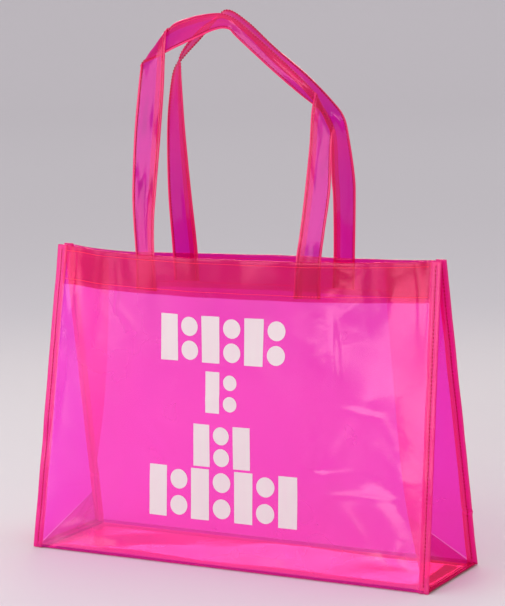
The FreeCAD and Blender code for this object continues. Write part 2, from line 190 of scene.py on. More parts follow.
def slack(x, z, side):
    """How far the film of a wall stands off its smooth bowed shape."""
    to_seam = ease((wall_x(z) - abs(x)) / (14 * MM))
    to_foot = ease((z - WALL_FOOT) / (16 * MM))
    return (ripple(x, z, side) + mouth_wave(x, z, side) + crease(x, z, side)) * to_seam * to_foot


def on_wall(x, z, side, inside=0.0):
    """A point on a wall's film, or that far inside it."""
    across = min(abs(x) / wall_x(z), 1)
    lopside = 1 - MOUTH_LOPSIDE[side] * x / wall_x(z)
    sag = MOUTH_SAG[side] * (z / HEIGHT) ** 3 * (1 - across ** 4) * lopside
    out = wall_y(z) + bow(x, z) + slack(x, z, side) - FILM / 2 - inside
    return Vector((x, side * out, z - sag))


def wall_normal(x, z, side):
    """The outward direction of a wall at a place on it."""
    step = 1.5 * MM
    along_x = on_wall(x + step, z, side) - on_wall(x - step, z, side)
    along_z = on_wall(x, z + step, side) - on_wall(x, z - step, side)
    return along_x.cross(along_z).normalized() * -side


# ---------------------------------------------------------------- mesh helpers
class Builder:
    """Gathers the points and faces of one piece."""

    def __init__(self):
        self.points = []
        self.faces = []

    def grid(self, rows, closed=False, flip=False):
        """Rows of points of equal length, joined by quads. A closed row joins its last point to its first."""
        first = len(self.points)
        width = len(rows[0])
        for row in rows:
            self.points.extend(row)
        spans = width if closed else width - 1
        for r in range(len(rows) - 1):
            for c in range(spans):
                a = first + r * width + c
                b = first + r * width + (c + 1) % width
                quad = (a, b, b + width, a + width)
                self.faces.append(quad[::-1] if flip else quad)
        return first

    def cap(self, first, count, flip=False):
        """A fan over one closed row of points."""
        middle = sum((self.points[first + i] for i in range(count)), Vector()) / count
        centre = len(self.points)
        self.points.append(middle)
        for i in range(count):
            face = (first + i, first + (i + 1) % count, centre)
            self.faces.append(face[::-1] if flip else face)

    def tube(self, rings, flip=False):
        """Closed rings of points, joined and capped at both ends."""
        count = len(rings[0])
        first = self.grid(rings, closed=True, flip=flip)
        self.cap(first, count, flip=not flip)
        self.cap(first + count * (len(rings) - 1), count, flip=flip)

    def piece(self, name, material):
        """A smooth mesh object of what was gathered."""
        mesh = bpy.data.meshes.new(name)
        mesh.from_pydata([tuple(p) for p in self.points], [], self.faces)
        mesh.validate()
        mesh.update()
        mesh.shade_smooth()
        mesh.materials.append(material)
        made = bpy.data.objects.new(name, mesh)
        bpy.context.scene.collection.objects.link(made)
        return made


def spread(low, high, count):
    """Evenly spaced numbers from low to high."""
    return [low + (high - low) * i / (count - 1) for i in range(count)]


def turns(count):
    """Angles evenly round a circle."""
    return [2 * math.pi * i / count for i in range(count)]


class Track:
    """A line of points with outward normals, measured along its length."""

    def __init__(self, points, normals):
        self.points = points
        self.normals = normals
        self.marks = [0.0]
        for a, b in zip(points, points[1:]):
            self.marks.append(self.marks[-1] + (b - a).length)
        self.length = self.marks[-1]

    def at(self, distance):
        """Point and normal at a distance along the line."""
        distance = max(0.0, min(self.length, distance))
        low = 0
        high = len(self.marks) - 1
        while high - low > 1:
            middle = (low + high) // 2
            if self.marks[middle] <= distance:
                low = middle
            else:
                high = middle
        share = (distance - self.marks[low]) / max(self.marks[high] - self.marks[low], 1e-9)
        point = self.points[low].lerp(self.points[high], share)
        return point, self.normals[low].lerp(self.normals[high], share).normalized()


STITCH_SIDES = 6
STITCH_DUTY = 0.66
# A stitch's rings: place along it, rise above the film and thickness, each as a share.
STITCH_RINGS = [(-0.5, -0.9, 0.45), (-0.36, 0.5, 0.95), (0.0, 1.0, 1.0), (0.36, 0.5, 0.95), (0.5, -0.9, 0.45)]


def sew(builder, track, pitch=2.9 * MM, radius=0.26 * MM, rise=0.26 * MM):
    """A row of separate stitches along a track: short runs of thread that dip into the film at both ends."""
    count = int(track.length / pitch)
    step = track.length / count
    nearby = 0.3 * MM
    for number in range(count):
        middle = (number + 0.5) * step
        rings = []
        for place, height, thick in STITCH_RINGS:
            distance = middle + place * step * STITCH_DUTY
            point, normal = track.at(distance)
            ahead, _ = track.at(distance + nearby)
            behind, _ = track.at(distance - nearby)
            along = (ahead - behind).normalized()
            sideways = normal.cross(along).normalized()
            centre = point + normal * rise * height
            ring = []
            for turn in turns(STITCH_SIDES):
                offset = sideways * math.cos(turn) + normal * math.sin(turn)
                ring.append(centre + offset * radius * thick)
            rings.append(ring)
        builder.tube(rings)


# ---------------------------------------------------------------- materials
def new_material(name):
    """An empty material: itself, its node tree and the object coordinates that its patterns use."""
    material = bpy.data.materials.new(name)
    material.use_nodes = True
    tree = material.node_tree
    tree.nodes.clear()
    coordinates = tree.nodes.new("ShaderNodeTexCoord")
    return material, tree, coordinates.outputs["Object"]


def add_node(tree, kind, values, sources, **settings):
    """A node with its settings, the values of some inputs and the outputs that feed others."""
    node = tree.nodes.new(kind)
    for name, value in settings.items():
        setattr(node, name, value)
    for name, value in values.items():
        node.inputs[name].default_value = value
    for name, source in sources.items():
        tree.links.new(source, node.inputs[name])
    return node


def cloudy(tree, place, scale, detail, distortion=0.0):
    """A cloudy pattern, with values about a half."""
    values = {"Scale": scale, "Detail": detail, "Distortion": distortion}
    return add_node(tree, "ShaderNodeTexNoise", values, {"Vector": place}).outputs["Fac"]


def reckon(tree, operation, values, sources, **settings):
    """The result of a sum on values and outputs."""
    return add_node(tree, "ShaderNodeMath", values, sources, operation=operation, **settings).outputs[0]


def remap(tree, value, low, high, start=0.0, stop=1.0, **settings):
    """A value carried from the range of start and stop to the range of low and high."""
    values = {"From Min": start, "From Max": stop, "To Min": low, "To Max": high}
    return add_node(tree, "ShaderNodeMapRange", values, {"Value": value}, **settings).outputs["Result"]


def between(tree, factor, first, second):
    """A colour between two, by a factor."""
    values = {"A": (*first, 1), "B": (*second, 1)}
    return add_node(tree, "ShaderNodeMix", values, {"Factor": factor}, data_type="RGBA").outputs["Result"]


def raised(tree, pattern, height, strength=1.0):
    """The normal of a surface that a pattern raises."""
    values = {"Strength": strength, "Distance": height}
    return add_node(tree, "ShaderNodeBump", values, {"Height": pattern}).outputs["Normal"]


def slant(tree, blend, normal):
    """How far a surface is turned from the line of sight: 0 face on, 1 edge on."""
    return add_node(tree, "ShaderNodeLayerWeight", {"Blend": blend}, {"Normal": normal}).outputs["Facing"]


def mixed(tree, factor, first, second):
    """A shader between two, by a factor."""
    return add_node(tree, "ShaderNodeMixShader", {}, {"Fac": factor, 1: first, 2: second}).outputs[0]


def painted_glow(colour, power):
    """The values of a shader's own light: a painted glow, which no lamp gives."""
    return {"Emission Color": (*colour, 1), "Emission Strength": power}


def solid(tree, colour, normal, values):
    """An opaque shader with a pattern in its colour and its normal."""
    sources = {"Base Color": colour, "Normal": normal}
    return add_node(tree, "ShaderNodeBsdfPrincipled", values, sources).outputs[0]


def finish_material(material, tree, shader):
    """Let a shader be the material's surface."""
    add_node(tree, "ShaderNodeOutputMaterial", {}, {"Surface": shader})
    return material


# The share of light that vinyl reflects face on and edge on, and the power of the slant by which it rises.
FACE_REFLECTANCE = 0.055
EDGE_REFLECTANCE = 0.8
REFLECTANCE_POWER = 5
# How soon the dense part of a film shows as it is seen at a slant, and how much its clouds add.
DENSITY_BLEND = 0.28
CLOUD_DENSITY = 0.10
# The small waves in a film: the share of the finest ones, and their height.
FINE_SHARE = 0.05
WAVE_HEIGHT = 1.2 * MM


def film(name, pigment, tint, glow, power, density, roughness=0.1, shine=(1.0, 0.42, 0.52), relief=0.3):
    """Clear coloured vinyl: glossy, tinting what is behind it, with a little painted glow, and denser seen at
    a slant.

    Pigment is the colour of its dense part, and glow that of the painted glow which it gives off with this
    power, as though it were a lamp. Tint is the colour of its clear part, and shine that of its reflections.
    The density is the share of the dense part, first face on and then edge on.
    """
    material, tree, place = new_material(name)
    clouds = cloudy(tree, place, 14, 3)
    fine = cloudy(tree, place, 420, 2)
    waves = cloudy(tree, place, 38, 4, 0.6)
    heights = reckon(tree, "MULTIPLY_ADD", {1: FINE_SHARE}, {0: fine, 2: waves})
    normal = raised(tree, heights, WAVE_HEIGHT, relief)
    rough = remap(tree, clouds, roughness * 0.6, roughness * 1.9, 0.35, 0.7)
    redder = (pigment[0], pigment[1] * 1.5, pigment[2] * 0.82)

    values = {"Roughness": 0.7, "Specular IOR Level": 0.0}
    # The dense part's painted glow: emission that brightens it whatever light falls on it.
    values.update(painted_glow(glow, power))
    sources = {"Base Color": between(tree, clouds, pigment, redder)}
    dense = add_node(tree, "ShaderNodeBsdfPrincipled", values, sources).outputs[0]
    clear = add_node(tree, "ShaderNodeBsdfTransparent", {"Color": (*tint, 1)}, {}).outputs[0]
    depth = remap(tree, slant(tree, DENSITY_BLEND, normal), *density)
    share = reckon(tree, "MULTIPLY_ADD", {1: CLOUD_DENSITY}, {0: clouds, 2: depth}, use_clamp=True)
    body = mixed(tree, share, clear, dense)

    steep = reckon(tree, "POWER", {1: REFLECTANCE_POWER}, {0: slant(tree, 0.5, normal)})
    mirror = remap(tree, steep, FACE_REFLECTANCE, EDGE_REFLECTANCE)
    sources = {"Roughness": rough, "Normal": normal}
    gloss = add_node(tree, "ShaderNodeBsdfGlossy", {"Color": (*shine, 1)}, sources).outputs[0]
    return finish_material(material, tree, mixed(tree, mirror, body, gloss))


def sewing_thread(name, colour, glow):
    """Twisted polyester thread with a fine diagonal ply, and a painted glow that keeps it red where it is in
    shade.
    """
    material, tree, place = new_material(name)
    values = {"Scale": 900, "Distortion": 1.5}
    wave = add_node(tree, "ShaderNodeTexWave", values, {"Vector": place}, bands_direction="DIAGONAL")
    ply = wave.outputs["Fac"]
    darker = [0.7 * part for part in colour]
    values = {"Roughness": 0.6, "Specular IOR Level": 0.1}
    values.update(painted_glow(colour, glow))
    fibre = solid(tree, between(tree, ply, darker, colour), raised(tree, ply, 0.08 * MM), values)
    return finish_material(material, tree, fibre)


def screen_ink(name):
    """Cream screen ink with faint squeegee streaks and a fine grain."""
    material, tree, place = new_material(name)
    stretched = add_node(tree, "ShaderNodeMapping", {"Scale": (160, 160, 22)}, {"Vector": place}).outputs[0]
    streaks = cloudy(tree, stretched, 1, 4)
    grain = cloudy(tree, place, 1500, 2)
    cream = between(tree, streaks, (0.71, 0.54, 0.60), (0.70, 0.63, 0.62))
    ink = solid(tree, cream, raised(tree, grain, 0.06 * MM, 0.4), {"Roughness": 0.5})
    return finish_material(material, tree, ink)


def paper(name, near, far, reach):
    """Matt studio paper with painted light and shade in its colour: darker near the bag, where the lamps
    light it most, and lighter far from it, over a reach.
    """
    material, tree, place = new_material(name)
    away = add_node(tree, "ShaderNodeVectorMath", {}, {0: place}, operation="LENGTH").outputs["Value"]
    # Painted shade near the bag and painted light far from it: the colour follows the distance from the bag.
    fade = remap(tree, away, 0, 1, *reach, interpolation_type="SMOOTHSTEP")
    grain = cloudy(tree, place, 90, 6)
    values = {"Roughness": 0.85, "Specular IOR Level": 0.2}
    sheet = solid(tree, between(tree, fade, near, far), raised(tree, grain, 0.3 * MM, 0.1), values)
    return finish_material(material, tree, sheet)


# Each film's glow and power give it a painted glow of its own, not light from the lamps.
WALL_FILM = film(
    "vinyl_wall",
    pigment=(0.90, 0.05, 0.62),
    tint=(1.0, 0.28, 0.80),
    glow=(1.0, 0.09, 0.70),
    power=0.21,
    density=(0.17, 0.72),
    roughness=0.16,
    shine=(1, 0.6, 0.66),
)
BASE_FILM = film(
    "vinyl_base",
    pigment=(0.95, 0.09, 0.17),
    tint=(1.0, 0.20, 0.56),
    glow=(1.0, 0.08, 0.16),
    power=0.14,
    density=(0.12, 0.6),
    roughness=0.09,
    shine=(1, 0.6, 0.40),
    relief=0.06,
)
BASE_FOLD_FILM = film(
    "vinyl_base_fold",
    pigment=(0.5, 0.006, 0.30),
    tint=(0.74, 0.05, 0.42),
    glow=(1.0, 0.02, 0.40),
    power=0.03,
    density=(0.5, 0.9),
)
HEM_FILM = film(
    "vinyl_hem",
    pigment=(0.78, 0.012, 0.22),
    tint=(0.94, 0.135, 0.70),
    glow=(1.0, 0.03, 0.2),
    power=0.03,
    density=(0.04, 0.70),
    roughness=0.14,
    shine=(1, 0.34, 0.42),
)
GUSSET_FILM = film(
    "vinyl_gusset",
    pigment=(0.92, 0.065, 0.10),
    tint=(1.0, 0.17, 0.94),
    glow=(1.0, 0.10, 0.13),
    power=0.22,
    density=(-0.03, 0.8),
    roughness=0.14,
    shine=(0.8, 0.4, 0.6),
)
GUSSET_FOOT_FILM = film(
    "vinyl_gusset_foot",
    pigment=(0.66, 0.01, 0.12),
    tint=(0.98, 0.15, 0.78),
    glow=(1.0, 0.04, 0.16),
    power=0.04,
    density=(0.02, 0.9),
    roughness=0.14,
    shine=(0.7, 0.3, 0.4),
)
SEAM_FILM = film(
    "vinyl_seam",
    pigment=(0.84, 0.022, 0.33),
    tint=(0.94, 0.12, 0.60),
    glow=(1.0, 0.03, 0.32),
    power=0.09,
    density=(0.35, 0.92),
    roughness=0.14,
)
BASE_SEAM_FILM = film(
    "vinyl_base_seam",
    pigment=(0.52, 0.004, 0.10),
    tint=(0.85, 0.05, 0.32),
    glow=(1.0, 0.02, 0.14),
    power=0.04,
    density=(0.5, 0.92),
    roughness=0.14,
    shine=(0.6, 0.2, 0.3),
)
STRAP_FILM = film(
    "vinyl_strap",
    pigment=(0.88, 0.04, 0.22),
    tint=(0.94, 0.12, 0.74),
    glow=(1.0, 0.05, 0.26),
    power=0.14,
    density=(-0.04, 0.72),
    shine=(0.8, 0.36, 0.5),
)
STRAP_LAP_FILM = film(
    "vinyl_strap_lap",
    pigment=(0.92, 0.02, 0.26),
    tint=(0.94, 0.32, 0.58),
    glow=(1.0, 0.02, 0.20),
    power=0.08,
    density=(0.12, 0.6),
    shine=(0.7, 0.3, 0.4),
)
STRAP_EDGE_FILM = film(
    "vinyl_fold_edge",
    pigment=(0.95, 0.035, 0.28),
    tint=(1.0, 0.2, 0.56),
    glow=(1.0, 0.04, 0.26),
    power=0.12,
    density=(0.34, 0.9),
)
# The last number is the power of each thread's painted glow, which keeps it red in shade.
THREAD = sewing_thread("crimson_thread", (0.38, 0.001, 0.04), 0.2)
HEM_THREAD = sewing_thread("coral_thread", (0.95, 0.05, 0.10), 0.35)
INK = screen_ink("cream_ink")


# ---------------------------------------------------------------- walls
def finish_piece(piece, body, slot, *nodes):
    """Let a piece ride on its body and hide the frame parts of the nodes that it stands in for. The slot is
    not used.
    """
    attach(piece, body)
    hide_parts(*nodes)


def make_panel(side):
    """The film of a wall, from its foot to its hem."""
    name = WALL_NAMES[side]
    builder = Builder()
    rows = []
    for z in spread(WALL_FOOT, HEM_FOOT, 150):
        rows.append([on_wall(u * (wall_x(z) + TUCK), z, side) for u in spread(-1, 1, 230)])
    builder.grid(rows, flip=side == BACK)
    panel = builder.piece(f"{name}_wall_film", WALL_FILM)
    finish_piece(panel, f"{name}_wall", "vinyl_film", f"{name}_panel")


def make_hem(side):
    """The turned-in top edge: over the mouth in a small round fold, then down inside the wall."""
    name = WALL_NAMES[side]
    builder = Builder()
    gap = 1.5 * MM
    fold = gap / 2 + FILM
    inset = 4 * MM
    columns = spread(-1, 1, 190)
    rows = []
    for z in spread(HEM_FOOT, HEIGHT, 22)[:-1]:
        rows.append([on_wall(u * (wall_x(z) + TUCK), z, side) for u in columns])
    for turn in spread(0, 180, 9):
        angle = math.radians(turn)
        row = []
        for u in columns:
            x = u * (wall_x(HEIGHT) + TUCK - (inset + TUCK) * turn / 180)
            point = on_wall(x, HEIGHT, side, fold - fold * math.cos(angle))
            row.append(point + Vector((0, 0, fold * math.sin(angle) * 0.7)))
        rows.append(row)
    for z in spread(HEIGHT - 1 * MM, HEM_FOOT, 22):
        lift = 0.5 * MM * math.sin(math.pi * (HEIGHT - z) / (HEIGHT - HEM_FOOT))
        row = []
        for u in columns:
            x = u * (wall_x(z) - inset)
            row.append(on_wall(x, z, side, 2 * fold + lift * (1 + math.sin(x * 90)) * 0.5))
        rows.append(row)
    builder.grid(rows, flip=side == BACK)
    hem = builder.piece(f"{name}_hem_fold", HEM_FILM)
    finish_piece(hem, f"{name}_wall", "vinyl_film", f"{name}_hem")


# How far the two rows of hem stitches lie below the mouth.
HEM_STITCH_DROPS = (3.5 * MM, 29 * MM)


def make_hem_stitches(side):
    """The two rows of stitches along a hem."""
    name = WALL_NAMES[side]
    builder = Builder()
    for drop in HEM_STITCH_DROPS:
        z = HEIGHT - drop
        places = spread(-wall_x(z) + 1 * MM, wall_x(z) - 1 * MM, 240)
        points = [on_wall(x, z, side) for x in places]
        normals = [wall_normal(x, z, side) for x in places]
        sew(builder, Track(points, normals))
    stitches = builder.piece(f"{name}_hem_stitches", HEM_THREAD)
    finish_piece(stitches, f"{name}_wall", "thread", f"{name}_hem_threads")


def lobed(across):
    """Half thickness of a seam, across it from -1 to 1: two soft lobes and a groove for the stitches."""
    lobe = abs(math.sin(math.pi * across)) ** 0.6
    groove = 0.45 * math.exp(-((across / 0.13) ** 2))
    rim = math.sqrt(max(0.0, 1 - abs(across) ** 6))
    return SEAM_THICK / 2 * (0.75 + 0.60 * lobe - groove) * rim


# A storage fold runs across the back seams and the gussets: its depth, and its level on each.
KINK_DEPTH = 1.6 * MM
SEAM_KINK = 50 * MM
GUSSET_KINK = 52 * MM


def kink(z, level):
    """How far the storage fold at a level pushes film in or out: nothing a little away from it."""
    return KINK_DEPTH * math.exp(-(((z - level) / (1.4 * MM)) ** 2))


def seam_centre(z, side, end):
    """The middle of a corner seam at a level: it wavers a little, and the back ones have a kink."""
    wobble = noise.noise(Vector((end * 3.1, side * 2.2, z * 26))) * 0.7 * MM
    out = wall_y(z) - SEAM_THICK / 2 + wobble
    if side == BACK:
        out += kink(z, SEAM_KINK)
    return Vector((end * (seam_x(z) + wobble * 0.3), side * out, z))


def make_corner_seam(side, end):
    """The pinched seam up one corner: wall and gusset turned out together and sewn through."""
    name = f"{WALL_NAMES[side]}_{END_NAMES[end]}"
    builder = Builder()
    across = [math.sin(math.pi / 2 * s) for s in spread(-1, 1, 17)]
    rings = []
    for z in spread(0.6 * MM, HEIGHT + 1.5 * MM, 230):
        centre = seam_centre(z, side, end)
        half = SEAM_WIDTH / 2 * (1.0 - 0.05 * noise.noise(Vector((z * 40, end, side))))
        outside = [centre + Vector((a * half, side * lobed(a), 0)) for a in across]
        inside = [centre + Vector((a * half, -side * lobed(a), 0)) for a in across[-2:0:-1]]
        rings.append(outside + inside)
    builder.tube(rings, flip=side == BACK)
    seam = builder.piece(f"{name}_seam_fold", SEAM_FILM)
    finish_piece(seam, f"{WALL_NAMES[side]}_wall", "vinyl_seam", f"{name}_seam")

    thread_builder = Builder()
    levels = spread(5 * MM, HEIGHT - 2 * MM, 230)
    for facing in (1, -1):
        outward = Vector((0, side * facing, 0))
        points = [seam_centre(z, side, end) + outward * lobed(0) for z in levels]
        sew(thread_builder, Track(points, [outward] * len(points)), pitch=3.3 * MM, radius=0.55 * MM)
    stitches = thread_builder.piece(f"{name}_seam_stitches", THREAD)
    finish_piece(stitches, f"{WALL_NAMES[side]}_wall", "thread", f"{name}_seam_thread")


# ---------------------------------------------------------------- base
FOLD_STEPS = 7
# How many strips of faces along each fold are doubled, darker film.
FRONT_FOLD_STRIPS = 9
BACK_FOLD_STRIPS = 4


def base_profile():
    """The base sheet across its depth: a round fold, the flat, and another round fold."""
    flat_end = HALF_DEPTH - FOLD_RADIUS
    fold = []
    for turn in spread(90, 0, FOLD_STEPS):
        angle = math.radians(turn)
        out = flat_end + FOLD_RADIUS * math.sin(angle) - FILM / 2
        fold.append((-out, FOLD_RADIUS - FOLD_RADIUS * math.cos(angle) + FILM / 2))
    flat = [(y, FILM / 2) for y in spread(-flat_end, flat_end, 44)[1:-1]]
    return fold + flat + [(-y, z) for y, z in reversed(fold)]


def make_base():
    """The base sheet: nearly flat, rising through a round fold to the foot of each wall."""
    builder = Builder()
    profile = base_profile()
    half_length = HALF_WIDTH - SEAM_WIDTH / 2
    rows = []
    for x in spread(-half_length, half_length, 150):
        row = []
        for y, z in profile:
            inner = ease((HALF_DEPTH - FOLD_RADIUS - abs(y)) / (16 * MM))
            inner *= ease((HALF_WIDTH - SEAM_WIDTH - abs(x)) / (14 * MM))
            wave = noise.noise(Vector((x * 9, y * 11, 3.3)))
            wave += 0.12 * noise.noise(Vector((x * 31, y * 27, 8.1)))
            row.append(Vector((x, y, z + inner * (wave + 0.75) * 3.4 * MM)))
        rows.append(row)
    builder.grid(rows)
    base = builder.piece("base_film", BASE_FILM)
    base.data.materials.append(BASE_FOLD_FILM)
    strips = len(profile) - 1
    for face in base.data.polygons:
        strip = face.index % strips
        if strip < FRONT_FOLD_STRIPS or strip >= strips - BACK_FOLD_STRIPS:
            face.material_index = 1
    finish_piece(base, "base", "vinyl_film", "base_panel")


def make_base_seam(end):
    """The pinched seam along one end of the base, with its stitches."""
    name = END_NAMES[end]
    low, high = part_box(f"{name}_base_seam")
    middle = (low + high) / 2
    half = (high.x - low.x) / 2

    def centre(y):
        """The middle of the seam at a place along it: it lifts and sinks a little."""
        lift = 0.5 * MM * (1 + noise.noise(Vector((end * 4.0, y * 40, 1.0))))
        return Vector((middle.x, y, middle.z + lift))

    builder = Builder()
    across = [math.sin(math.pi / 2 * s) for s in spread(-1, 1, 13)]
    tilt = Vector((0, 0, 0.8 * MM * end))
    rings = []
    for y in spread(low.y + 0.6 * MM, high.y - 0.6 * MM, 60):
        top = [centre(y) + tilt * a + Vector((a * half, 0, lobed(a))) for a in across]
        below = [centre(y) + tilt * a + Vector((a * half, 0, -lobed(a) * 0.8)) for a in across[-2:0:-1]]
        rings.append(top + below)
    builder.tube(rings)
    seam = builder.piece(f"{name}_base_seam_fold", BASE_SEAM_FILM)
    finish_piece(seam, "base", "vinyl_seam", f"{name}_base_seam")

    thread_builder = Builder()
    up = Vector((0, 0, 1))
    points = [centre(y) + up * lobed(0) for y in spread(low.y + 2 * MM, high.y - 2 * MM, 60)]
    sew(thread_builder, Track(points, [up] * len(points)), pitch=3.3 * MM, radius=0.42 * MM)
    stitches = thread_builder.piece(f"{name}_base_seam_stitches", THREAD)
    finish_piece(stitches, "base", "thread", f"{name}_base_thread")


# ---------------------------------------------------------------- gussets
# Each gusset's inward crease, from low to top: distance from the middle plane and height, in millimetres.
GUSSET_CREASE = {
    LEFT: [(168, 44), (158.5, 90), (151, 135), (145.5, 190), (141, 264)],
    RIGHT: [(157, 52), (152, 86), (147, 140), (142, 204), (137, 268)],
}
# Half the gap between the two leaves at their crease, and how far a gusset's hem lies inside its leaf.
CREASE_HALF_GAP = 0.02 * MM
GUSSET_HEM_GAP = 0.7 * MM


def polyline_at(points, share):
    """The place at a share of a run of 2-D points, smoothed between them."""
    runs = len(points) - 1
    run = min(int(share * runs), runs - 1)
    local = share * runs - run
    p0 = points[max(run - 1, 0)]
    p1 = points[run]
    p2 = points[run + 1]
    p3 = points[min(run + 2, runs)]
    return [catmull(p0[i], p1[i], p2[i], p3[i], local) for i in range(len(p1))]


def catmull(a, b, c, d, t):
    """A smooth curve from b to c, with its neighbours a and d."""
    square = (2 * a - 5 * b + 4 * c - d) * t * t
    cube = (3 * b - a - 3 * c + d) * t ** 3
    return 0.5 * (2 * b + (c - a) * t + square + cube)


def gusset_point(side, end, up, inward, inside=0.0):
    """A point on an upper gusset leaf, or that far inside it.

    Up goes from its foot, 0, to the mouth, 1, and inward from its seam to its crease.
    """
    z = WALL_FOOT + (HEIGHT - WALL_FOOT) * up
    outer = Vector((end * (seam_x(z) - FILM), side * (wall_y(z) - SEAM_THICK), z))
    x, level = polyline_at(GUSSET_CREASE[end], up)
    inner = Vector((end * x * MM, side * CREASE_HALF_GAP, level * MM))
    point = outer.lerp(inner, inward)
    away = Vector((0.25 * end, side, 0)).normalized()
    belly = math.sin(math.pi * inward) * math.sin(math.pi * min(1, up * 1.05))
    wave = noise.noise(Vector((inward * 1.6 + side, end * 2.0, up * 5))) * 2.2 * MM
    nick = kink(point.z, GUSSET_KINK) * math.sin(math.pi * inward)
    return point - away * (belly * (1.2 * MM + wave) * 0.7 + nick - inside)


def gusset_blend(piece):
    """Bake a leaf's transform into its mesh."""
    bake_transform(piece)


def make_gusset_leaf(side, end):
    """One upper leaf of a gusset, from its seam in to the crease, and its hem."""
    name = f"{END_NAMES[end]}_gusset_{WALL_NAMES[side]}"
    builder = Builder()
    rows = [[gusset_point(side, end, up, v) for v in spread(0, 1, 30)] for up in spread(0, 1, 200)]
    builder.grid(rows, flip=side * end > 0)
    leaf = builder.piece(f"{name}_film", GUSSET_FILM)
    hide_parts(f"{name}_leaf")
    gusset_blend(leaf)

    hem_builder = Builder()
    rows = []
    for up in spread(1, HEM_FOOT / HEIGHT, 16):
        rows.append([gusset_point(side, end, up, v, GUSSET_HEM_GAP) for v in spread(0.06, 0.97, 24)])
    hem_builder.grid(rows, flip=side * end > 0)
    hem = hem_builder.piece(f"{name}_hem_film", GUSSET_FILM)
    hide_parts(f"{name}_hem")
    gusset_blend(hem)


def make_gusset_foot(end):
    """The small triangle at the foot of a gusset, between its two lower folds."""
    name = END_NAMES[end]
    x, level = GUSSET_CREASE[end][0]
    tip = Vector((end * x * MM, 0, level * MM))
    builder = Builder()
    rows = []
    for t in spread(0, 1, 34):
        edge = Vector((end * (HALF_WIDTH - SEAM_WIDTH / 2 - FILM), 0, SEAM_THICK + 0.3 * MM))
        reach = (HALF_DEPTH - SEAM_THICK - 1.5 * MM) * (1 - t)
        row = []
        for v in spread(-1, 1, 40):
            flat = edge.lerp(tip, t) + Vector((0, v * reach, 0))
            belly = math.sin(math.pi * t) * (1 - v * v)
            wave = noise.noise(Vector((v * 1.5, end * 3, t * 3)))
            row.append(flat + Vector((-end * 0.6, 0, -0.8)) * belly * (0.8 + wave) * 1.2 * MM)
        rows.append(row)
    builder.grid(rows, flip=end < 0)
    foot = builder.piece(f"{name}_gusset_foot_film", GUSSET_FOOT_FILM)
    finish_piece(foot, "base", "gusset_film", f"{name}_gusset_foot_leaf")


# ---------------------------------------------------------------- print
# The rows of the print, in millimetres: level of the middle, height, width and number of marks.
PRINT_ROWS = [(205, 43, 125, 6), (158, 38, 32, 2), (110, 39, 57, 3), (66, 47, 149, 7)]
PRINT_GAP = 3.5
PRINT_RISE = 0.35 * MM
# How much lower a bar is than its row, and how much smaller a disc is than the room for it, in millimetres.
BAR_TRIM = 1.2
DISC_TRIM = 0.3
DISC_SIDES = 36


def on_print(x, z):
    """A place on the ink, from its place on the front wall in millimetres."""
    return on_wall(x * MM, z * MM, FRONT, -PRINT_RISE)


def add_bar(builder, x, z, wide, tall):
    """An upright bar of ink."""
    columns = spread(x - wide / 2, x + wide / 2, 9)
    builder.grid([[on_print(a, b) for a in columns] for b in spread(z - tall / 2, z + tall / 2, 22)])


def add_disc(builder, x, z, radius):
    """A round spot of ink."""
    rings = []
    for share in spread(0.02, 1, 7):
        reach = radius * share
        rings.append([on_print(x + reach * math.cos(t), z + reach * math.sin(t)) for t in turns(DISC_SIDES)])
    first = builder.grid(rings, closed=True, flip=True)
    builder.cap(first, DISC_SIDES)


def make_print():
    """Four rows of plain marks in cream ink on the outside of the front wall: bars, and discs in pairs."""
    builder = Builder()
    for level, tall, wide, count in PRINT_ROWS:
        cell = (wide - PRINT_GAP * (count - 1)) / count
        for column in range(count):
            x = -wide / 2 + cell / 2 + column * (cell + PRINT_GAP)
            if column % 2 == 0:
                add_bar(builder, x, level, cell, tall - BAR_TRIM)
            else:
                radius = min(cell / 2, tall / 4) - DISC_TRIM
                add_disc(builder, x, level + tall / 4, radius)
                add_disc(builder, x, level - tall / 4, radius)
    motif = builder.piece("front_print_ink", INK)
    finish_piece(motif, "front_wall", "print_ink", "front_print")


